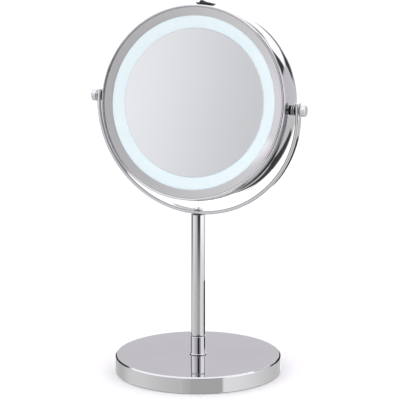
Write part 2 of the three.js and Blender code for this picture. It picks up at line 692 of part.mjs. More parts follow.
function makeBatteryTray() {
  const earY = ledgeY + LEDGE_THICKNESS + FIT;
  const floor = box(
    2 * (bayHalfLength + BAY_WALL), cellY - bayFloorY, 2 * (bayHalfWidth + BAY_WALL),
    0, (cellY + bayFloorY) / 2, 0);
  const earTip = earScrewRadius + SMALL_HEAD_RADIUS + 2 * FIT;
  const arm = box(2 * earTip, BAY_WALL, EAR_WIDTH, 0, earY + BAY_WALL / 2, 0);
  arm.rotateY(-EAR_ANGLE);
  const recess = box(
    2 * bayHalfLength, CUT, 2 * bayHalfWidth, 0, bayFloorY + BAY_WALL + CUT / 2, 0);
  const holes = earScrewAngles.map((angle) => screwHole(earScrewRadius, angle));
  const tray = [recess, ...holes].reduce(
    (solid, tool) => solid.subtract(closed(tool)), join(floor, arm));
  addMesh(head, "battery_tray", geometryOf(tray), "blackPlastic");

  const seatY = earY + BAY_WALL + FIT;
  const tipY = ledgeY + FIT / 2;
  earScrewAngles.forEach((angle, i) => {
    const screw = smallScrew(earScrewRadius, angle, seatY, tipY, 1);
    addMesh(head, `battery_tray_screw_${i + 1}`, screw, "steel");
  });
}

function springPath() {
  const path = new THREE.Curve();
  path.getPoint = (t, target = new THREE.Vector3()) => {
    const angle = t * SPRING_TURNS * 2 * Math.PI;
    const radius = THREE.MathUtils.lerp(CELL_RADIUS - 2 * SPRING_WIRE, CELL_NUB_RADIUS, t);
    const x = THREE.MathUtils.lerp(SPRING_WIRE, SPRING_LENGTH - 2 * SPRING_WIRE, t);
    return target.set(x, radius * Math.cos(angle), radius * Math.sin(angle));
  };
  return path;
}

function wireSection(radius, sides) {
  const section = new THREE.Shape();
  for (let i = 0; i < sides; i += 1) {
    const angle = (i / sides) * 2 * Math.PI;
    const method = i === 0 ? "moveTo" : "lineTo";
    section[method](radius * Math.cos(angle), radius * Math.sin(angle));
  }
  section.closePath();
  return section;
}

function makeCells() {
  const bodyEnd = cellTipX - CELL_NUB_LENGTH;
  const cell = [
    [0, cellTailX],
    [CELL_RADIUS, cellTailX],
    [CELL_RADIUS, bodyEnd],
    [CELL_NUB_RADIUS, bodyEnd],
    [CELL_NUB_RADIUS, cellTipX],
    [0, cellTipX],
  ];
  for (let i = 0; i < CELL_COUNT; i += 1) {
    const turn = cellWay(i) > 0 ? 0 : Math.PI;
    const place = (geometry) => geometry.rotateY(turn).translate(0, cellY, cellRow(i));
    addMesh(head, `battery_${i + 1}`, place(turnedX(cell, SMALL_ROUND)), "cell");

    const plateHeight = 2 * CELL_RADIUS - 2 * FIT;
    const plate = box(CONTACT_THICKNESS, plateHeight, plateHeight,
      plateFaceX + CONTACT_THICKNESS / 2, 0, 0);
    addMesh(head, `contact_plate_${i + 1}`, place(plate), "steel");

    const spring = new THREE.ExtrudeGeometry(wireSection(SPRING_WIRE / 2, SPRING_SIDES), {
      steps: SPRING_STEPS * SPRING_TURNS,
      extrudePath: springPath(),
      bevelEnabled: false,
    });
    spring.translate(-bayHalfLength, 0, 0);
    addMesh(head, `contact_spring_${i + 1}`, place(spring), "steel");
  }
}

// ---------------------------------------------------------------- head, switch and wires

function makeSwitch() {
  const bodyHalf = SWITCH_LENGTH / 2 - SWITCH_RIM / 2;
  const flange = box(
    SWITCH_LENGTH, SWITCH_WIDTH, SWITCH_FLANGE, 0, switchY, switchFlangeZ + SWITCH_FLANGE / 2);
  const block = box(
    2 * bodyHalf, 2 * switchHalfWidth, SWITCH_BODY_DEPTH - FIT,
    0, switchY, switchBottomZ + (SWITCH_BODY_DEPTH - FIT) / 2);
  const wellHalf = ROCKER_HALF_LENGTH + 2 * FIT;
  const wellDepth = ROCKER_DEPTH * 2 * Math.SQRT1_2 + SWITCH_FLANGE / 2;
  const well = box(2 * wellHalf, ROCKER_WIDTH + 2 * FIT, wellDepth + CUT,
    0, switchY, switchTopZ - wellDepth + (wellDepth + CUT) / 2);
  const body = join(flange, block).subtract(closed(well));
  addMesh(head, "switch_body", geometryOf(body), "blackPlastic");

  const outline = new THREE.Shape();
  const hornX = ROCKER_HALF_LENGTH - ROCKER_SLANT;
  outline.moveTo(-hornX, ROCKER_HORN);
  outline.lineTo(-ROCKER_HALF_LENGTH, 0);
  outline.lineTo(-ROCKER_DEPTH, -ROCKER_DEPTH);
  outline.lineTo(ROCKER_DEPTH, -ROCKER_DEPTH);
  outline.lineTo(ROCKER_HALF_LENGTH, 0);
  outline.lineTo(hornX, ROCKER_HORN);
  outline.quadraticCurveTo(0, 2 * ROCKER_WAIST - ROCKER_HORN, -hornX, ROCKER_HORN);
  const rocker = new THREE.ExtrudeGeometry(outline, {
    depth: ROCKER_WIDTH,
    bevelEnabled: false,
    curveSegments: ROCKER_STEPS,
  });
  rocker.translate(0, 0, -ROCKER_WIDTH / 2);
  rocker.rotateX(Math.PI / 2);
  rocker.rotateY(ROCKER_THROW);
  rocker.translate(0, switchY, rockerAxisZ);
  addMesh(head, "rocker", rocker, "blackPlastic");

  [-1, 1].forEach((side, i) => {
    const blade = box(CONTACT_THICKNESS, TERMINAL_WIDTH, TERMINAL_LENGTH,
      (side * TERMINAL_SPACING) / 2, switchY, switchBottomZ - FIT - TERMINAL_LENGTH / 2);
    addMesh(head, `switch_terminal_${i + 1}`, blade, "brass");
  });
}

function wire(name, points, finish) {
  const path = new THREE.CatmullRomCurve3(points.map((point) => new THREE.Vector3(...point)));
  const geometry = new THREE.ExtrudeGeometry(wireSection(WIRE_RADIUS, WIRE_SIDES), {
    steps: WIRE_STEPS * (points.length - 1),
    extrudePath: path,
    bevelEnabled: false,
  });
  addMesh(head, name, geometry, finish);
}

function makeWires() {
  const terminalTip = switchBottomZ - 2 * FIT - TERMINAL_LENGTH - WIRE_RADIUS;
  const terminalX = TERMINAL_SPACING / 2;
  const intoHole = ([x, z]) => [
    [x, channelBackY + WIRE_BEND, z],
    [x, channelBackY, z],
    [x, boardBackY + FIT, z],
  ];
  const [switchHole, batteryHole] = wireHoleAngles.map((angle) => onCircle(wireHoleRadius, angle));
  wire("wire_switch_to_board", [
    [-terminalX, switchY, terminalTip],
    [-terminalX - WIRE_RADIUS, switchY - WIRE_RADIUS, terminalTip - WIRE_BEND],
    ...intoHole(switchHole),
  ], "redWire");
  const lastRow = cellRow(CELL_COUNT - 1);
  const bayTopZ = bayHalfWidth + BAY_WALL;
  const besideX = bayHalfLength + BAY_WALL + 3 * WIRE_RADIUS;
  wire("wire_battery_to_switch", [
    [terminalX, switchY, terminalTip],
    [terminalX + WIRE_BEND, switchY - WIRE_RADIUS, terminalTip - 2 * WIRE_BEND],
    [bayHalfLength / 2, cellY, (bayTopZ + terminalTip) / 2],
    [besideX, cellY, bayTopZ + WIRE_BEND],
    [besideX, cellY, bayTopZ - WIRE_BEND],
    [besideX, cellY, lastRow],
  ], "redWire");
  wire("wire_battery_to_board", [
    [-besideX, cellY, cellRow(0)],
    [-besideX, cellY, lastRow],
    [-besideX, cellY, bayTopZ + WIRE_BEND],
    ...intoHole(batteryHole),
  ], "blackWire");
}

// ---------------------------------------------------------------- rear cover

function makeRearCover() {
  const spigotRadius = drumRadius(seamRearY) - HOUSING_WALL - FIT;
  const bezel = frameProfile(rearY, seamRearY, rearRadius, spigotRadius, 1);
  addMesh(head, "rear_bezel", turned(bezel, ROUND), "chrome");

  const radii = Array.from(
    { length: MIRROR_RINGS + 1 }, (_, i) => (i / MIRROR_RINGS) * rearMirrorRadius);
  const back = radii.map((radius) => [radius, rearGlassBackY + rearSag(radius)]);
  const front = back.map(([radius, y]) => [radius, y + GLASS]).reverse();
  addMesh(head, "rear_mirror", turned([...back, ...front], ROUND), "mirror");

  const rimBackY = rearFrameBackY - FIT;
  const plate = [
    [0, plateY],
    [plateRimOuter, plateY],
    [plateRimOuter, rimBackY],
    [plateRimInner, rimBackY],
    [plateRimInner, plateY + PLATE_WALL],
    [0, plateY + PLATE_WALL],
  ];
  const lugs = lugAngles.map((angle) => {
    const inside = plateRimInner - LUG_REACH;
    const lug = box(lugOuter - inside, PLATE_WALL, LUG_WIDTH, (lugOuter + inside) / 2,
      plateY + PLATE_WALL / 2, 0);
    return lug.rotateY(-angle);
  });
  const body = join(turned(plate, INNER_ROUND), ...lugs);
  addMesh(head, "rear_backing_plate", geometryOf(body), "blackPlastic");
}

makeBase();
makePost();
makeYoke();
makePivots();
makeFront();
makeHousing();
makeBatteryTray();
makeCells();
makeSwitch();
makeWires();
makeRearCover();

export default object;
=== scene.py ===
"""Looks of the lighted vanity mirror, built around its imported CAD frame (metres, +Z up)."""

import json
import math

import bmesh
import bpy
from mathutils import Matrix, Vector


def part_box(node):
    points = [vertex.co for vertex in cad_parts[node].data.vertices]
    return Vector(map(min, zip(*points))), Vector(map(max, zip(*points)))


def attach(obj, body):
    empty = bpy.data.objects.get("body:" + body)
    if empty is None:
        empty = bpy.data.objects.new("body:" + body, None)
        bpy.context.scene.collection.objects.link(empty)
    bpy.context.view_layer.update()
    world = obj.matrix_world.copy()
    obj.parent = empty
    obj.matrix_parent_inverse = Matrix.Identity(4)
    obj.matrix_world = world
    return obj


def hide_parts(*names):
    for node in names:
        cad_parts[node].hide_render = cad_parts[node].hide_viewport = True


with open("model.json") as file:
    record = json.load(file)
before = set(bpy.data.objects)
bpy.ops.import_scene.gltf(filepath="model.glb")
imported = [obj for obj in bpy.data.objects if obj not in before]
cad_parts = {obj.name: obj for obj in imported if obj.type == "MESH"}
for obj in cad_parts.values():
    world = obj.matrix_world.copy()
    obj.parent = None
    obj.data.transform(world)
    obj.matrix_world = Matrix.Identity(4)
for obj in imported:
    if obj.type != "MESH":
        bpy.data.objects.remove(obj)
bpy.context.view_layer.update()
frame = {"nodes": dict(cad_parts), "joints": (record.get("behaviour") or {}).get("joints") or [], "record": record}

MM = 0.001
FINE = 160  # sides of the large round pieces
MEDIUM = 72
SMALL = 40
SHARP = math.radians(32)  # faces that turn by more than this meet in a hard edge
FIT = 0.3 * MM  # clearance between pieces, as in the CAD
BOSS_WALL = 0.9 * MM
CLEAR_OF_FEATURES = math.pi / 3  # a half-plane of the head that meets no boss, lug, hole or window
TRAY_SCREWS = ["tray_screw_1", "tray_screw_2", "tray_screw_3"]
EAR_SCREWS = ["battery_tray_screw_1", "battery_tray_screw_2"]
OPAL_GLOW = 0.38
# sockets of a Mix node: numbers, then colours
NUMBER_A, NUMBER_B, NUMBER_OUT = 2, 3, 0
COLOUR_A, COLOUR_B, COLOUR_OUT = 6, 7, 2

# camera
CAMERA_AZIMUTH = math.radians(21.894)  # from the front towards the right
CAMERA_ELEVATION = math.radians(13.231)
CAMERA_DISTANCE = 2.39965
CAMERA_AIM = Vector((0.00155, 0.00062, 0.15545))
CAMERA_LENS = 246.1  # mm, on a 36 mm sensor

# studio
FLOOR_HALF = 3.0
FLOOR_GLOW = 0.02
WORLD_LEVEL = 0.78
WORLD_SLOPE = 0.62
HORIZON = -14.4  # degrees; the table's far edge as the chrome sees it
# brightness of the table: degrees from the front towards the right, level
TABLE_LEVELS = (
    (0, 0.70), (10, 0.63), (12, 0.575), (55, 0.575), (58, 1.13), (80, 1.09), (110, 0.96),
    (150, 0.77), (175, 0.69), (200, 0.69), (215, 0.64), (245, 0.65), (258, 0.74), (268, 0.88),
    (280, 0.94), (300, 0.94), (330, 0.82), (350, 0.745))
# soft boxes and flags: two directions, two elevations (degrees), level; later ones are in front,
# and one whose direction passes 360 ends at the front
LIGHTS = (
    (-10, 370, 50, 100, 1.5),
    (205, 372, 34, 60, 1.5),
    (264, 322, 15, 33, 1.4),
    (290, 330, -14.4, -9, 1.2),
    (13, 57, 10, 50, 0.04),
    (41, 57, 9, 21, 0.5),
    (13, 57, -14.4, 10, 0.03),
    (62, 130, -14.4, 50, 1.6),
    (192, 208, -36, 12, 1.6),
    (164, 198, 6, 17.2, 1.7),
    (158, 198, 22.5, 40, 1.7),
    (172, 189, 17.5, 22.5, 0.08),
    (152, 163, 7, 16, 0.06),
    (148, 164, 15, 27, 0.10),
    (169, 180, -2, 5, 0.06),
    (180, 191, 2, 6, 0.28),
    (172, 186, -9, -2, 0.35),
    (164, 192, -33, -23, 0.06),
    (164, 191, -25, -18.5, 0.06),
    (215, 234, -8, 14, 0.04),
    (233, 262, -8, 31, 0.04),
    (266, 288, -14.4, -9, 0.08))
LIGHT_EDGE = 1.0  # degrees
CARD_SIZE = (190 * MM, 220 * MM)
CARD_EDGE = 20 * MM
CARD_PLACE = Vector((-147, -372, 317)) * MM
FLAG_RADIUS = 135 * MM
FLAG_HEIGHTS = (-3 * MM, 48 * MM)
FLAG_FIRST, FLAG_LAST = math.radians(124), math.radians(167)

joints = {joint["name"]: joint for joint in frame["joints"]}
PIVOT = Vector(joints["head_tilt"]["pos_m"])
BACK = Vector(joints["rear_cover_lift"]["axis"]).normalized()
RIGHT = Vector((1, 0, 0))
UP = RIGHT.cross(BACK)


def axes_matrix(x, y, z, origin):
    """Matrix that takes local x, y, z to those directions, and the local origin to that point."""
    matrix = Matrix((x, y, z)).transposed().to_4x4()
    matrix.translation = origin
    return matrix


# Local z is the axis of revolution, and local x points where a section is read.
STAND = Matrix.Identity(4)
HEAD = axes_matrix(RIGHT, UP, -BACK, PIVOT)
PIVOT_RIGHT = axes_matrix(BACK, UP, RIGHT, PIVOT)
PIVOT_LEFT = axes_matrix(UP, BACK, -RIGHT, PIVOT)
# The same for what stands still on the yoke.
YOKE_RIGHT = axes_matrix(Vector((0, 1, 0)), Vector((0, 0, 1)), RIGHT, PIVOT)
YOKE_LEFT = axes_matrix(Vector((0, 0, 1)), Vector((0, 1, 0)), -RIGHT, PIVOT)


# ------------------------------------------------------------------ mesh helpers


def local_points(node, matrix):
    """The corners of a CAD node's mesh in a local frame."""
    inverse = matrix.inverted()
    return [inverse @ v.co for v in frame["nodes"][node].data.vertices]


def extent(node, matrix):
    """Lowest and highest corner of a CAD node in a local frame."""
    points = local_points(node, matrix)
    low = Vector(min(p[i] for p in points) for i in range(3))
    high = Vector(max(p[i] for p in points) for i in range(3))
    return low, high


def section(node, matrix, angle=0.0):
    """The (radius, height) outline of a turned CAD node, read in the half-plane at an angle."""
    tolerance = 0.02 * MM
    mesh = frame["nodes"][node].data
    points = local_points(node, matrix)
    ahead = Vector((math.cos(angle), math.sin(angle), 0))
    aside = Vector((-math.sin(angle), math.cos(angle), 0))

    def key(point):
        return (round(point.dot(ahead), 5), round(point.z, 5))

    inside = [abs(p.dot(aside)) < tolerance and p.dot(ahead) > -tolerance for p in points]
    links = {}
    for edge in mesh.edges:
        a, b = edge.vertices
        if inside[a] and inside[b] and key(points[a]) != key(points[b]):
            links.setdefault(key(points[a]), set()).add(key(points[b]))
            links.setdefault(key(points[b]), set()).add(key(points[a]))
    ends = [point for point, near in links.items() if len(near) == 1]
    start = min(ends, key=lambda p: p[1]) if ends else min(links)
    outline, last = [start], None
    while True:
        steps = [p for p in sorted(links[outline[-1]]) if p != last and p not in outline]
        if not steps:
            break
        last = outline[-1]
        outline.append(steps[0])
    if ends:
        outline = on_axis(outline)
    return outline, not ends


def on_axis(outline):
    """An open outline with both its ends brought to the axis of revolution."""
    if outline[0][0] > 1e-6:
        outline.insert(0, (0.0, outline[0][1]))
    if outline[-1][0] > 1e-6:
        outline.append((0.0, outline[-1][1]))
    return outline


def bowed(points, count):
    """Points of the parabola through the first, middle and last of a run of outline points."""
    along = max((0, 1), key=lambda i: abs(points[-1][i] - points[0][i]))
    across = 1 - along
    (a, fa), (b, fb), (c, fc) = (
        (points[i][along], points[i][across]) for i in (0, len(points) // 2, -1))
    result = []
    for step in range(count + 1):
        t = a + (c - a) * step / count
        value = (fa * (t - b) * (t - c) / ((a - b) * (a - c))
                 + fb * (t - a) * (t - c) / ((b - a) * (b - c))
                 + fc * (t - a) * (t - b) / ((c - a) * (c - b)))
        result.append((t, value) if along == 0 else (value, t))
    return result


def fillet(outline, closed, radius=0.2 * MM, steps=3, least=12):
    """Rounds each corner of an outline that turns by more than the least angle, in degrees."""
    result = []
    count = len(outline)
    for i, point in enumerate(outline):
        if not closed and i in (0, count - 1):
            result.append(point)
            continue
        here = Vector(point)
        before = Vector(outline[i - 1]) - here
        after = Vector(outline[(i + 1) % count]) - here
        inner = before.angle(after)
        if math.degrees(math.pi - inner) < least:
            result.append(point)
            continue
        cut = min(radius / math.tan(inner / 2), 0.45 * before.length, 0.45 * after.length)
        start = here + before.normalized() * cut
        end = here + after.normalized() * cut
        for step in range(steps + 1):
            t = step / steps
            # a quadratic through the corner is close to the arc
            spot = start * (1 - t) ** 2 + here * 2 * t * (1 - t) + end * t ** 2
            result.append((spot.x, spot.y))
    return result


def mesh_from(name, bm, matrix=None):
    """A smooth-shaded object from a bmesh, with hard edges only where faces turn sharply."""
    if matrix is not None:
        bm.transform(matrix)
    bmesh.ops.recalc_face_normals(bm, faces=bm.faces)
    mesh = bpy.data.meshes.new(name)
    bm.to_mesh(mesh)
    bm.free()
    mesh.shade_smooth()
    mesh.set_sharp_from_angle(angle=SHARP)
    piece = bpy.data.objects.new(name, mesh)
    bpy.context.scene.collection.objects.link(piece)
    return piece


def revolve(name, outline, closed, matrix, sides=FINE):
    """A turned body from a (radius, height) outline; an open outline starts and ends on the axis."""
    bm = bmesh.new()
    columns = []
    for radius, height in outline:
        if radius < 1e-7:
            columns.append([bm.verts.new((0, 0, height))] * sides)
            continue
        turn = (2 * math.pi * i / sides for i in range(sides))
        columns.append([
            bm.verts.new((radius * math.cos(a), radius * math.sin(a), height)) for a in turn])
    pairs = list(zip(columns, columns[1:]))
    if closed:
        pairs.append((columns[-1], columns[0]))
    for one, two in pairs:
        for i in range(sides):
            j = (i + 1) % sides
            corners = list(dict.fromkeys((one[i], one[j], two[j], two[i])))
            if len(corners) > 2:
                bm.faces.new(corners)
    return mesh_from(name, bm, matrix)


def even_normals(piece):
    """Keeps flat faces flat beside their rounded edges."""
    modifier = piece.modifiers.new("even_normals", "WEIGHTED_NORMAL")
    modifier.keep_sharp = True
    modifier.weight = 100
    return piece


def bevelled(piece, width, angle):
    """Bevels the edges whose faces turn by more than an angle."""
    edge = piece.modifiers.new("edge", "BEVEL")
    edge.width = width
    edge.segments = 3
    edge.limit_method = "ANGLE"
    edge.angle_limit = angle
    return even_normals(piece)


def turned_like(node, matrix, sides=FINE, radius=0.2 * MM, angle=0.0, steps=3):
    """A fine turned body with the outline of a CAD node, and rounded edges."""
    outline, closed = section(node, matrix, angle)
    outline = fillet(outline, closed, radius, steps)
    return even_normals(revolve(node + "_fine", outline, closed, matrix, sides))


def copy_of(node, bevel=0.25 * MM, rounded=0):
    """A new mesh from a CAD node: its flat faces joined, its edges bevelled or smoothed."""
    bm = bmesh.new()
    bm.from_mesh(frame["nodes"][node].data)
    bmesh.ops.remove_doubles(bm, verts=bm.verts, dist=1e-5)
    bmesh.ops.dissolve_limit(
        bm, angle_limit=math.radians(1), verts=bm.verts, edges=bm.edges)
    if rounded:
        bmesh.ops.triangulate(bm, faces=[f for f in bm.faces if len(f.verts) > 4])
        bmesh.ops.join_triangles(
            bm, faces=bm.faces, angle_face_threshold=1.2, angle_shape_threshold=1.2)
    piece = mesh_from(node + "_fine", bm)
    if not rounded:
        return bevelled(piece, bevel, SHARP)
    smooth = piece.modifiers.new("rounded", "SUBSURF")
    smooth.levels = rounded
    smooth.render_levels = rounded
    return piece


def block(name, low, high, matrix, turn=0.0):
    """A box between two corners of a local frame, turned about the frame's z axis."""
    bm = bmesh.new()
    bmesh.ops.create_cube(bm, size=1)
    size = [h - l for l, h in zip(low, high)]
    centre = [(h + l) / 2 for l, h in zip(low, high)]
    bm.transform(Matrix.Translation(centre) @ Matrix.Diagonal((*size, 1)))
    return mesh_from(name, bm, matrix @ Matrix.Rotation(turn, 4, "Z"))


def rod(name, radius, low, high, matrix):
    """A plain turned rod, used as a boolean tool."""
    outline = [(0, low), (radius, low), (radius, high), (0, high)]
    return revolve(name, outline, False, matrix, SMALL)


def boolean(piece, tools, operation="DIFFERENCE"):
    """Cuts or joins the tools into the piece, keeps the result and removes the tools."""
    for tool in tools:
        modifier = piece.modifiers.new("cut", "BOOLEAN")
        modifier.operation = operation
        modifier.solver = "EXACT"
        modifier.object = tool
    bpy.context.view_layer.update()
    result = bpy.data.meshes.new_from_object(
        piece.evaluated_get(bpy.context.evaluated_depsgraph_get()))
    piece.modifiers.clear()
    piece.data = result
    result.shade_smooth()
    result.set_sharp_from_angle(angle=SHARP)
    for tool in tools:
        bpy.data.objects.remove(tool)
    return piece


# ------------------------------------------------------------------ materials


class Shader:
    """A node material built around one Principled shader."""

    def __init__(self, name, **values):
        self.material = bpy.data.materials.new(name)
        self.material.use_nodes = True
        self.nodes = self.material.node_tree.nodes
        self.links = self.material.node_tree.links
        self.bsdf = self.nodes["Principled BSDF"]
        self.where = self.nodes.new("ShaderNodeTexCoord").outputs["Object"]
        for socket, value in values.items():
            self.bsdf.inputs[socket.replace("_", " ").title()].default_value = value

    def set(self, socket, value):
        self.bsdf.inputs[socket].default_value = value
        return self

    def noise(self, scale, detail=3.0, roughness=0.5, stretch=(1, 1, 1), distortion=0.0):
        """Noise over the object, scale in cells per metre; stretch above 1 draws it out."""
        mapping = self.nodes.new("ShaderNodeMapping")
        mapping.inputs["Scale"].default_value = [1 / s for s in stretch]
        self.links.new(self.where, mapping.inputs["Vector"])
        node = self.nodes.new("ShaderNodeTexNoise")
        node.inputs["Scale"].default_value = scale
        node.inputs["Detail"].default_value = detail
        node.inputs["Roughness"].default_value = roughness
        node.inputs["Distortion"].default_value = distortion
        self.links.new(mapping.outputs["Vector"], node.inputs["Vector"])
        return node.outputs["Fac"]

    def between(self, source, low, high, at=(0.3, 0.7)):
        """Maps a source to numbers between low and high."""
        node = self.nodes.new("ShaderNodeMapRange")
        for key, value in (("From Min", at[0]), ("From Max", at[1]), ("To Min", low),
                           ("To Max", high)):
            node.inputs[key].default_value = value
        self.links.new(source, node.inputs["Value"])
        return node.outputs["Result"]

    def blend(self, source, low, high, at=(0.3, 0.7)):
        """Maps a source to colours between low and high."""
        node = self.nodes.new("ShaderNodeMix")
        node.data_type = "RGBA"
        self.links.new(self.between(source, 0.0, 1.0, at), node.inputs["Factor"])
        node.inputs[COLOUR_A].default_value = (*low, 1)
        node.inputs[COLOUR_B].default_value = (*high, 1)
        return node.outputs[COLOUR_OUT]

    def colour(self, source, low, high, at=(0.3, 0.7)):
        self.links.new(self.blend(source, low, high, at), self.bsdf.inputs["Base Color"])

    def roughness(self, source, low, high, at=(0.3, 0.7)):
        self.links.new(self.between(source, low, high, at), self.bsdf.inputs["Roughness"])

    def bump(self, source, height, strength):
        node = self.nodes.new("ShaderNodeBump")
        node.inputs["Distance"].default_value = height
        node.inputs["Strength"].default_value = strength
        self.links.new(source, node.inputs["Height"])
        self.links.new(node.outputs["Normal"], self.bsdf.inputs["Normal"])


def chrome_material():
    """Polished plating: a faint cloudiness, wiping marks and hardly any orange peel."""
    shader = Shader("chrome", metallic=1.0)
    tint = (0.608, 0.603, 0.622)
    lighter = [1.05 * channel for channel in tint]
    shader.colour(shader.noise(14, 2), tint, lighter)
    shader.roughness(shader.noise(420, 4, 0.6, (6, 1, 1)), 0.035, 0.075, (0.35, 0.75))
    shader.bump(shader.noise(160, 1), 0.004 * MM, 0.6)
    return shader.material


def mirror_material():
    """Silvered glass, slightly cool, with hardly visible smears."""
    shader = Shader("mirror_glass", metallic=1.0)
    shader.colour(shader.noise(9, 1), (0.842, 0.85, 0.885), (0.862, 0.868, 0.90))
    shader.roughness(shader.noise(60, 5, 0.65), 0.006, 0.022, (0.45, 0.8))
    shader.set("Coat Weight", 0.25).set("Coat Roughness", 0.01)
    return shader.material


def opal_material():
    """Opal plastic lit from behind: cool white, glowing a little unevenly."""
    shader = Shader("opal_diffuser", roughness=0.28)
    shader.colour(shader.noise(30, 2), (0.50, 0.55, 0.57), (0.54, 0.58, 0.60))
    shader.set("Subsurface Weight", 0.2)
    glow = shader.blend(shader.noise(7, 1), (0.78, 0.93, 0.975), (0.86, 0.97, 1.0))
    shader.links.new(glow, shader.bsdf.inputs["Emission Color"])
    shader.set("Emission Strength", OPAL_GLOW)
    shader.bump(shader.noise(2600, 2), 0.01 * MM, 0.3)
    return shader.material


def plastic_material(name, dark, light, rough=(0.32, 0.45)):
    """Moulded plastic: fine spark-eroded grain and uneven gloss."""
    shader = Shader(name)
    shader.colour(shader.noise(60, 3), dark, light)
    shader.roughness(shader.noise(240, 4, 0.6), *rough)
    shader.bump(shader.noise(1800, 2), 0.012 * MM, 0.5)
    return shader.material


def metal_material(name, dark, light, rough):
    """Drawn or turned metal with fine lines and uneven oxide."""
    stretch = (1, 1, 12)
    shader = Shader(name, metallic=1.0)
    shader.colour(shader.noise(120, 4), dark, light)
    shader.roughness(shader.noise(900, 3, 0.6, stretch), *rough)
    shader.bump(shader.noise(2400, 2, 0.5, stretch), 0.01 * MM, 0.4)
    return shader.material


def rubber_material():
    """Dull black rubber with a fine uneven grain."""
    shader = Shader("black_rubber")
    shader.colour(shader.noise(90, 4), (0.018, 0.018, 0.02), (0.04, 0.04, 0.042))
    shader.roughness(shader.noise(300, 3), 0.62, 0.82)
    shader.bump(shader.noise(1500, 4, 0.7), 0.03 * MM, 0.6)
    return shader.material


def cast_material():
    """Bare grey casting, rough and mottled."""
    shader = Shader("cast_iron", metallic=0.75)
    shader.colour(shader.noise(220, 5, 0.6), (0.10, 0.10, 0.105), (0.19, 0.185, 0.18))
    shader.roughness(shader.noise(400, 4), 0.5, 0.8)
    shader.bump(shader.noise(900, 5, 0.7), 0.12 * MM, 0.8)
    return shader.material


def board_material():
    """White solder mask with faint tracks showing through it."""
    shader = Shader("circuit_board")
    shader.colour(shader.noise(150, 1, 0.4, (1, 1, 1), 2.5), (0.72, 0.76, 0.70), (0.88, 0.90, 0.87),
                  (0.47, 0.53))
    shader.roughness(shader.noise(300, 2), 0.30, 0.42)
    shader.bump(shader.noise(150, 1), 0.02 * MM, 0.5)
    return shader.material


def led_material():
    """Yellow phosphor under a clear cap."""
    shader = Shader("led_chip")
    shader.colour(shader.noise(500, 2), (0.93, 0.80, 0.30), (0.97, 0.90, 0.55))
    shader.roughness(shader.noise(700, 2), 0.12, 0.25)
    shader.set("Coat Weight", 0.6).set("Coat Roughness", 0.05)
    shader.bump(shader.noise(1500, 2), 0.01 * MM, 0.4)
    return shader.material


def wrap_material():
    """Plain unmarked battery wrap."""
    shader = Shader("battery_wrap")
    shader.colour(shader.noise(80, 3), (0.10, 0.27, 0.14), (0.14, 0.33, 0.18))
    shader.roughness(shader.noise(260, 3), 0.24, 0.36)
    shader.set("Coat Weight", 0.4).set("Coat Roughness", 0.12)
    shader.bump(shader.noise(500, 3), 0.02 * MM, 0.4)
    return shader.material


SLOTS = {
    "chrome": chrome_material(),
    "mirror_glass": mirror_material(),
    "opal_diffuser": opal_material(),
    "white_plastic": plastic_material(
        "white_plastic", (0.80, 0.80, 0.78), (0.88, 0.88, 0.86), (0.42, 0.55)),
    "black_plastic": plastic_material(
        "black_plastic", (0.014, 0.014, 0.016), (0.026, 0.026, 0.028)),
    "black_rubber": rubber_material(),
    "steel": metal_material("steel", (0.50, 0.51, 0.52), (0.62, 0.63, 0.64), (0.22, 0.38)),
    "brass": metal_material("brass", (0.66, 0.50, 0.24), (0.80, 0.64, 0.34), (0.20, 0.36)),
    "cast_iron": cast_material(),
    "circuit_board": board_material(),
    "led_chip": led_material(),
    "battery_wrap": wrap_material(),
    "red_wire": plastic_material(
        "red_wire", (0.42, 0.03, 0.02), (0.52, 0.05, 0.03), (0.38, 0.50)),
    "black_wire": plastic_material(
        "black_wire", (0.02, 0.02, 0.02), (0.035, 0.035, 0.035), (0.38, 0.50))}


def finish_piece(piece, body, slot, *nodes):
    """Gives a piece its body and its slot's material, and hides the CAD nodes that it stands for."""
    piece.data.materials.clear()
    piece.data.materials.append(SLOTS[slot])
    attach(piece, body)
    if nodes:
        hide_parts(*nodes)


def dress_cad():
    """Every CAD node that still shows gets its slot's material."""
    for entry in frame["record"]["subparts"]:
        node = frame["nodes"][entry["node"]]
        if not node.hide_render:
            node.data.materials.clear()
            node.data.materials.append(SLOTS[entry["material_slot"]])


# ------------------------------------------------------------------ stand


def make_stand():
    """Base, post, yoke and the yoke's bushes."""
    for node, slot, shape in (
            ("base_cover", "chrome", {"radius": 0.4 * MM, "steps": 4}),
            ("base_pad", "black_rubber", {"radius": 0.3 * MM}),
            ("base_weight", "cast_iron", {"radius": 0.8 * MM}),
            ("post_collar", "chrome", {"sides": MEDIUM}),
            ("post_tube", "chrome", {"sides": MEDIUM, "radius": 0.25 * MM}),
            ("post_insert_bottom", "steel", {"sides": SMALL}),
            ("post_insert_top", "steel", {"sides": SMALL}),
            ("base_bolt", "steel", {"sides": SMALL}),
            ("base_washer", "steel", {"sides": SMALL})):
        finish_piece(turned_like(node, STAND, **shape), "root", slot, node)
    finish_piece(make_yoke(), "root", "chrome", "yoke")
    finish_piece(make_yoke_screw(), "root", "chrome", "yoke_screw")
    for node, matrix in (("yoke_bush_right", YOKE_RIGHT), ("yoke_bush_left", YOKE_LEFT)):
        bush = turned_like(node, matrix, sides=SMALL, radius=0.15 * MM)
        finish_piece(bush, "root", "black_plastic", node)


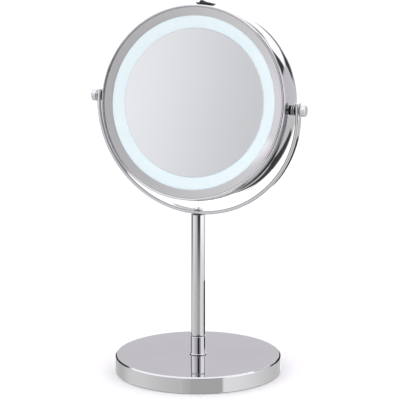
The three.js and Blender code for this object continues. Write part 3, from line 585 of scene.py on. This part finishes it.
def make_yoke():
    """A flat strap bent to a half ring, its ends cut level, its edges softly rounded."""
    low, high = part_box("yoke")
    radius = high.x
    centre = low.z + radius
    clear_of_screw = 2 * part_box("yoke_screw")[1].x
    inner = min(math.hypot(v.co.x, v.co.z - centre) for v in frame["nodes"]["yoke"].data.vertices
                if abs(v.co.x) > clear_of_screw)
    rise = high.z - centre
    outline = fillet(
        [(inner, low.y), (radius, low.y), (radius, high.y), (inner, high.y)], True,
        0.45 * (radius - inner), 6)
    stations = 160
    bm = bmesh.new()
    rings = []
    for i in range(stations + 1):
        ring = []
        for reach, y in outline:
            first = math.pi - math.asin(rise / reach)
            last = 2 * math.pi + math.asin(rise / reach)
            angle = first + (last - first) * i / stations
            ring.append(bm.verts.new(
                (reach * math.cos(angle), y, centre + reach * math.sin(angle))))
        rings.append(ring)
    for one, two in zip(rings, rings[1:]):
        for j in range(len(outline)):
            k = (j + 1) % len(outline)
            bm.faces.new((one[j], one[k], two[k], two[j]))
    bm.faces.new(rings[0])
    bm.faces.new(reversed(rings[-1]))
    strap = mesh_from("yoke_fine", bm)

    _, bush_high = extent("yoke_bush_right", YOKE_RIGHT)
    bore = rod("bore", bush_high.y + FIT, -2 * radius, 2 * radius, YOKE_RIGHT)
    return bevelled(boolean(strap, [bore]), 0.3 * MM, math.radians(50))


def make_yoke_screw():
    """Pan head with a cross recess."""
    screw = turned_like("yoke_screw", STAND, sides=SMALL, radius=0.3 * MM)
    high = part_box("yoke_screw")[1]
    reach = 0.62 * high.x
    half = 0.09 * high.x
    depth = 0.9 * MM
    arms = [
        block("arm", (-reach, -half, high.z - depth), (reach, half, high.z + depth), STAND, turn)
        for turn in (0.5, 0.5 + math.pi / 2)]
    return even_normals(boolean(screw, arms))


# ------------------------------------------------------------------ pivots


def grooves(node, matrix):
    """Start, end and nearly full radius of each groove of a spacer."""
    outline, _ = section(node, matrix)
    full = max(r for r, _ in outline)
    bore = min(r for r, _ in outline)
    floor = sorted(h for r, h in outline if bore < r < full)
    slack = 0.06 * MM
    for low, high in zip(floor[::2], floor[1::2]):
        yield low + slack, high - slack, full - 2 * slack


def make_pivots():
    """Knob screws, ribbed spacers with bright washers in their grooves, and inserts."""
    for side, matrix in (("right", PIVOT_RIGHT), ("left", PIVOT_LEFT)):
        for name, slot, sides, radius in (
                ("pivot_screw_", "chrome", MEDIUM, 0.4 * MM),
                ("pivot_spacer_", "black_rubber", MEDIUM, 0.28 * MM),
                ("pivot_insert_", "brass", SMALL, 0.2 * MM)):
            piece = turned_like(name + side, matrix, sides, radius)
            finish_piece(piece, "head", slot, name + side)
        for i, (low, high, radius) in enumerate(grooves("pivot_spacer_" + side, matrix)):
            hole = 0.5 * radius
            outline = [(hole, low), (radius, low), (radius, high), (hole, high)]
            washer = revolve(
                f"spacer_washer_{side}_{i + 1}", fillet(outline, True), True, matrix, MEDIUM)
            finish_piece(even_normals(washer), "head", "chrome")


# ------------------------------------------------------------------ head


def make_faces():
    """Both mirrors with their frames, the lit ring, and the drum between them."""
    finish_piece(make_front_bezel(), "head", "chrome", "front_bezel")
    for node, body, slot, radius in (
            ("front_mirror", "head", "mirror_glass", 0.3 * MM),
            ("diffuser_ring", "head", "opal_diffuser", 0.25 * MM),
            ("rear_bezel", "rear_cover", "chrome", 0.3 * MM)):
        finish_piece(turned_like(node, HEAD, radius=radius), body, slot, node)

    outline, _ = section("rear_mirror", HEAD)
    half = len(outline) // 2
    smooth = bowed(outline[:half], 24) + bowed(outline[half:], 24)
    glass = even_normals(revolve("rear_mirror_fine", smooth, False, HEAD))
    finish_piece(glass, "rear_cover", "mirror_glass", "rear_mirror")
    finish_piece(make_drum(), "head", "chrome", "drum_housing")


def make_front_bezel():
    """Dished ring with its raised lip, and a fine groove at the lip's foot."""
    outline, closed = section("front_bezel", HEAD)
    crest = max(range(len(outline)), key=lambda i: outline[i][1])
    step = 1 if outline[(crest + 1) % len(outline)][0] < outline[crest][0] else -1
    foot = (crest + 2 * step) % len(outline)
    radius, height = outline[foot]
    inner = outline[(foot + step) % len(outline)]
    slope = (height - inner[1]) / (radius - inner[0])
    width, depth = 0.5 * MM, 0.6 * MM
    groove = [
        (radius + 0.1 * MM, height - depth), (radius - 0.25 * MM, height - depth),
        (radius - width, height - width * slope)]
    if step < 0:
        groove.reverse()
    outline[foot:foot + 1] = groove
    return even_normals(revolve(
        "front_bezel_fine", fillet(outline, closed, 0.3 * MM), closed, HEAD))


def make_drum():
    """Barrel-shaped housing with its inner ledges, pivot bosses, switch window and lug slots."""
    outline, closed = section("drum_housing", HEAD, CLEAR_OF_FEATURES)
    widest = max(outline)[0]
    outer = [p for p in outline if p[0] > widest - 1.3 * MM]
    start = outline.index(outer[0])
    outline = outline[start:] + outline[:start]
    barrel = bowed(outline[:len(outer)], 24)
    outline = fillet(barrel + outline[len(outer):], closed, 0.5 * MM, 3, 20)
    drum = revolve("drum_housing_fine", outline, closed, HEAD)

    tip = extent("pivot_screw_right", PIVOT_RIGHT)[0].z
    wall = widest - 1.2 * MM
    half_height = 6 * MM
    _, insert_high = extent("pivot_insert_right", PIVOT_RIGHT)
    half_depth = insert_high.x + BOSS_WALL + FIT
    bosses = [
        block("boss", (low, -half_height, -half_depth), (high, half_height, half_depth), HEAD)
        for low, high in ((tip, wall), (-wall, -tip))]
    boolean(drum, bosses, "UNION")

    low, high = extent("switch_body", HEAD)
    across, along = 0.5 * MM, 0.75 * MM  # how far the flange covers the housing
    screw_radius = section("pivot_screw_right", PIVOT_RIGHT)[0][1][0]
    tools = [
        block("window", (low.x + across, low.y, low.z + along),
              (high.x - across, high.y, high.z - along), HEAD),
        rod("insert_bore", insert_high.x + FIT, -insert_high.z, insert_high.z, PIVOT_RIGHT),
        rod("screw_bore", screw_radius + FIT, -2 * wall, 2 * wall, PIVOT_RIGHT)]
    hole_radius, hole_half = 1.3 * MM, 8 * MM
    for node in TRAY_SCREWS + EAR_SCREWS:
        low, high = extent(node, HEAD)
        place = HEAD @ Matrix.Translation((low + high) / 2)
        tools.append(rod("hole", hole_radius, -hole_half, hole_half, place))
    for angle, lug_low, lug_high in lugs():
        tools.append(block(
            "slot", (lug_low.x, lug_low.y - 2 * FIT, lug_low.z - 3 * MM),
            (lug_high.x + FIT, lug_high.y + 2 * FIT, lug_high.z - FIT), HEAD, angle))
    return even_normals(boolean(drum, tools))


def lugs():
    """Clock angle and local corners of each bayonet lug of the rear backing plate."""
    node = "rear_backing_plate"
    rim = max(section(node, HEAD, CLEAR_OF_FEATURES)[0])[0]
    points = [p for p in local_points(node, HEAD) if math.hypot(p.x, p.y) > 1.01 * rim]
    for i in range(3):
        angle = math.radians(30 + 120 * i)
        turn = Matrix.Rotation(-angle, 3, "Z")
        turned = [turn @ p for p in points]
        near = [p for p in turned if p.x > 0.9 * rim]
        low = Vector((rim - 2 * MM, min(p.y for p in near), min(p.z for p in near)))
        high = Vector(max(p[j] for p in near) for j in range(3))
        yield angle, low, high


def make_rear_plate():
    """Dished backing plate with its rim and its three lugs."""
    plate = turned_like("rear_backing_plate", HEAD, radius=0.3 * MM, angle=CLEAR_OF_FEATURES)
    blocks = [block("lug", low, high, HEAD, angle) for angle, low, high in lugs()]
    boolean(plate, blocks, "UNION")
    finish_piece(even_normals(plate), "rear_cover", "black_plastic", "rear_backing_plate")


def make_screw(node, towards_front):
    """Small pan-head screw parallel to the head's axis, with a cross recess."""
    low, high = extent(node, HEAD)
    middle = (low + high) / 2
    place = HEAD @ Matrix.Translation((middle.x, middle.y, 0))
    screw = turned_like(node, place, sides=SMALL, radius=0.25 * MM)
    reach, half, depth = 1.1 * MM, 0.2 * MM, 0.55 * MM
    face = high.z if towards_front else low.z
    arms = [block("arm", (-reach, -half, face - depth), (reach, half, face + depth), place, turn)
            for turn in (0.3, 0.3 + math.pi / 2)]
    finish_piece(even_normals(boolean(screw, arms)), "head", "steel", node)


def make_light():
    """Reflector tray, ring board and its chips, behind the lit ring."""
    tray = turned_like("reflector_tray", HEAD, angle=CLEAR_OF_FEATURES)
    finish_piece(tray, "head", "white_plastic", "reflector_tray")
    ring = turned_like("led_board", HEAD, radius=0.1 * MM)
    finish_piece(ring, "head", "circuit_board", "led_board")
    for i in range(1, 11):
        node = f"led_{i:02d}"
        finish_piece(copy_of(node), "head", "led_chip", node)
    for node in TRAY_SCREWS:
        make_screw(node, True)


def make_bay():
    """The battery bay behind the rear cover, and the wiring."""
    finish_piece(copy_of("battery_tray"), "head", "black_plastic", "battery_tray")
    for i in (1, 2, 3):
        make_cell(f"battery_{i}", 1 if i % 2 else -1)
        spring, contact = f"contact_spring_{i}", f"contact_plate_{i}"
        finish_piece(copy_of(spring, rounded=2), "head", "steel", spring)
        finish_piece(copy_of(contact, bevel=0.15 * MM), "head", "steel", contact)
    for node in EAR_SCREWS:
        make_screw(node, False)
    for node in ("switch_terminal_1", "switch_terminal_2"):
        finish_piece(copy_of(node, bevel=0.12 * MM), "head", "brass", node)
    for node, slot in (
            ("wire_switch_to_board", "red_wire"), ("wire_battery_to_switch", "red_wire"),
            ("wire_battery_to_board", "black_wire")):
        finish_piece(copy_of(node, rounded=2), "head", slot, node)


def make_cell(node, facing):
    """A cell: wrapped body with rolled ends, steel nub and base; facing, 1 or -1, turns it."""
    low, high = extent(node, HEAD)
    centre = HEAD @ ((low + high) / 2)
    matrix = axes_matrix(BACK, UP * facing, RIGHT * facing, centre)
    outline, closed = section(node, matrix)
    body = even_normals(revolve(
        node + "_fine", fillet(outline, closed, 0.6 * MM, 4), closed, matrix, SMALL))
    finish_piece(body, "head", "battery_wrap", node)
    body.data.materials.append(SLOTS["steel"])
    length = max(p[1] for p in outline)
    rim = 0.86 * max(outline)[0]
    for face in body.data.polygons:
        spot = matrix.inverted() @ face.center
        if math.hypot(spot.x, spot.y) < rim and abs(spot.z) > 0.9 * length:
            face.material_index = 1


def make_switch():
    """The flanged switch body and its rocker."""
    for node, body, bevel in (
            ("switch_body", "head", 0.3 * MM), ("rocker", "rocker", 0.35 * MM)):
        finish_piece(copy_of(node, bevel=bevel), body, "black_plastic", node)


# ------------------------------------------------------------------ studio


class Graph:
    """Arithmetic with the nodes of a tree; every value is a number or a socket."""

    def __init__(self, tree):
        self.nodes = tree.nodes
        self.links = tree.links

    def plug(self, socket, value):
        if isinstance(value, (float, int)):
            socket.default_value = value
        else:
            self.links.new(value, socket)

    def math(self, operation, a, b=0.0):
        node = self.nodes.new("ShaderNodeMath")
        node.operation = operation
        for socket, value in zip(node.inputs, (a, b)):
            self.plug(socket, value)
        return node.outputs[0]

    def axes(self, vector):
        node = self.nodes.new("ShaderNodeSeparateXYZ")
        self.links.new(vector, node.inputs[0])
        return node.outputs

    def scale(self, source, low, high, to_low, to_high):
        """Maps a source smoothly from one range to another."""
        node = self.nodes.new("ShaderNodeMapRange")
        node.interpolation_type = "SMOOTHSTEP"
        for key, value in (("From Min", low), ("From Max", high), ("To Min", to_low),
                           ("To Max", to_high)):
            node.inputs[key].default_value = value
        self.links.new(source, node.inputs["Value"])
        return node.outputs["Result"]

    def mix(self, share, a, b):
        node = self.nodes.new("ShaderNodeMix")
        self.plug(node.inputs["Factor"], share)
        self.plug(node.inputs[NUMBER_A], a)
        self.plug(node.inputs[NUMBER_B], b)
        return node.outputs[NUMBER_OUT]

    def window(self, source, low, high, edge):
        """1 between two values, 0 outside them."""
        off = self.math("ABSOLUTE", self.math("SUBTRACT", source, (low + high) / 2))
        half = (high - low) / 2
        return self.scale(off, half - edge, half + edge, 1.0, 0.0)

    def ramp(self, share, stops, full):
        """A level read from stops, each a place out of the full range and a level."""
        node = self.nodes.new("ShaderNodeValToRGB")
        points = node.color_ramp.elements
        while len(points) > 1:
            points.remove(points[-1])
        for place, level in stops:
            point = points.new(place / full) if place else points[0]
            point.position = place / full
            point.color = (level, level, level, 1)
        self.links.new(share, node.inputs["Fac"])
        return node.outputs["Color"]


def only_in_reflections(piece, material):
    """A stage object that nothing but a reflection shows."""
    piece.data.materials.append(material)
    for ray in ("camera", "diffuse", "shadow", "transmission", "volume_scatter"):
        setattr(piece, "visible_" + ray, False)


def slope_card():
    """A soft-edged card at the front left that the mirror sees, brighter towards its right."""
    width, height = CARD_SIZE
    half_edge = CARD_EDGE / 2
    material = bpy.data.materials.new("card_slope")
    material.use_nodes = True
    graph = Graph(material.node_tree)
    graph.nodes.clear()
    x, y, _ = graph.axes(graph.nodes.new("ShaderNodeTexCoord").outputs["Object"])
    glow = graph.nodes.new("ShaderNodeEmission")
    graph.plug(glow.inputs["Strength"], graph.scale(x, -width / 2, width / 2, 0.66, 0.95))
    clear = graph.nodes.new("ShaderNodeBsdfTransparent")
    mix = graph.nodes.new("ShaderNodeMixShader")
    share = graph.math("MULTIPLY", *(
        graph.window(axis, half_edge - size / 2, size / 2 - half_edge, half_edge)
        for axis, size in ((x, width), (y, height))))
    out = graph.nodes.new("ShaderNodeOutputMaterial")
    graph.plug(mix.inputs["Fac"], share)
    graph.plug(mix.inputs[1], clear.outputs["BSDF"])
    graph.plug(mix.inputs[2], glow.outputs["Emission"])
    graph.plug(out.inputs["Surface"], mix.outputs["Shader"])

    bm = bmesh.new()
    bmesh.ops.create_grid(bm, x_segments=1, y_segments=1, size=0.5)
    bm.transform(Matrix.Diagonal((width, height, 1, 1)))
    piece = mesh_from("card_front_left", bm)
    towards_mirror = (PIVOT - CARD_PLACE).to_track_quat("Z", "Y")
    piece.matrix_world = Matrix.Translation(CARD_PLACE) @ towards_mirror.to_matrix().to_4x4()
    only_in_reflections(piece, material)


def rim_flag():
    """A low dark wall behind the base at the right, for its rim and the foot of the post."""
    steps = 24
    bm = bmesh.new()
    rows = []
    for height in FLAG_HEIGHTS:
        turns = (FLAG_FIRST + (FLAG_LAST - FLAG_FIRST) * i / steps for i in range(steps + 1))
        rows.append([
            bm.verts.new((FLAG_RADIUS * math.sin(a), -FLAG_RADIUS * math.cos(a), height))
            for a in turns])
    for i in range(steps):
        bm.faces.new((rows[0][i], rows[0][i + 1], rows[1][i + 1], rows[1][i]))
    velvet = Shader("flag_black")
    velvet.set("Base Color", (0, 0, 0, 1)).set("Specular IOR Level", 0)
    only_in_reflections(mesh_from("flag_rim", bm), velvet.material)


def make_world():
    """Pale surroundings with the soft boxes, flags and table that the chrome reflects."""
    world = bpy.data.worlds.new("studio")
    world.use_nodes = True
    graph = Graph(world.node_tree)
    x, y, z = graph.axes(graph.nodes.new("ShaderNodeTexCoord").outputs["Generated"])
    towards_front = graph.math("MULTIPLY", y, -1.0)
    turn = graph.math("DIVIDE", graph.math("ARCTAN2", x, towards_front), math.tau)
    share = graph.math("FRACT", turn)
    azimuth = graph.math("MULTIPLY", share, 360.0)
    elevation = graph.math("DEGREES", graph.math("ARCSINE", z))

    in_front = graph.math("MAXIMUM", towards_front, 0.0)
    slope = graph.math("MULTIPLY", graph.math("MULTIPLY", x, in_front), WORLD_SLOPE)
    level = graph.math("SUBTRACT", WORLD_LEVEL, slope)
    below = graph.scale(elevation, HORIZON - LIGHT_EDGE, HORIZON + LIGHT_EDGE, 1.0, 0.0)
    level = graph.mix(below, level, graph.ramp(share, TABLE_LEVELS, 360))
    for first, last, low, high, strength in LIGHTS:
        inside = graph.math("MULTIPLY", graph.window(azimuth, first, last, LIGHT_EDGE),
                            graph.window(elevation, low, high, LIGHT_EDGE))
        level = graph.mix(inside, level, strength)

    tint = graph.nodes.new("ShaderNodeMix")
    tint.data_type = "RGBA"
    graph.plug(tint.inputs["Factor"], below)
    tint.inputs[COLOUR_A].default_value = (0.985, 0.967, 1.0, 1)
    tint.inputs[COLOUR_B].default_value = (0.99, 1.0, 0.985, 1)
    seen = graph.nodes["Background"]
    graph.plug(seen.inputs["Color"], tint.outputs[COLOUR_OUT])
    graph.plug(seen.inputs["Strength"], level)
    # the camera itself sees a plain wall
    wall = graph.nodes.new("ShaderNodeBackground")
    wall.inputs["Color"].default_value = (1, 1, 1, 1)
    wall.inputs["Strength"].default_value = 1.0
    choose = graph.nodes.new("ShaderNodeMixShader")
    ray = graph.nodes.new("ShaderNodeLightPath")
    graph.plug(choose.inputs["Fac"], ray.outputs["Is Camera Ray"])
    graph.plug(choose.inputs[1], seen.outputs["Background"])
    graph.plug(choose.inputs[2], wall.outputs["Background"])
    graph.plug(graph.nodes["World Output"].inputs["Surface"], choose.outputs["Shader"])
    bpy.context.scene.world = world


def make_studio():
    """Pale floor and surroundings, and what only the chrome and the mirror see."""
    bpy.context.scene.view_settings.view_transform = "Standard"
    make_world()

    bm = bmesh.new()
    bmesh.ops.create_grid(bm, x_segments=1, y_segments=1, size=FLOOR_HALF)
    floor = mesh_from("floor", bm)
    paper = Shader("pale_floor", roughness=0.9)
    paper.colour(paper.noise(3, 2), (0.90, 0.90, 0.90), (0.92, 0.92, 0.92))
    paper.set("Emission Color", (1, 1, 1, 1)).set("Emission Strength", FLOOR_GLOW)
    floor.data.materials.append(paper.material)
    floor.visible_glossy = False
    slope_card()
    rim_flag()


def make_camera():
    """Telephoto view from the front right, looking a little down."""
    away = Vector((
        math.sin(CAMERA_AZIMUTH) * math.cos(CAMERA_ELEVATION),
        -math.cos(CAMERA_AZIMUTH) * math.cos(CAMERA_ELEVATION),
        math.sin(CAMERA_ELEVATION)))
    data = bpy.data.cameras.new("camera")
    data.sensor_width = 36
    data.lens = CAMERA_LENS
    data.clip_end = 20
    camera = bpy.data.objects.new("camera", data)
    camera.location = CAMERA_AIM + away * CAMERA_DISTANCE
    camera.rotation_euler = away.to_track_quat("Z", "Y").to_euler()
    bpy.context.scene.collection.objects.link(camera)
    bpy.context.scene.camera = camera


# ------------------------------------------------------------------ the whole


make_camera()
make_stand()
make_pivots()
make_faces()
make_light()
make_rear_plate()
make_bay()
make_switch()
dress_cad()
make_studio()
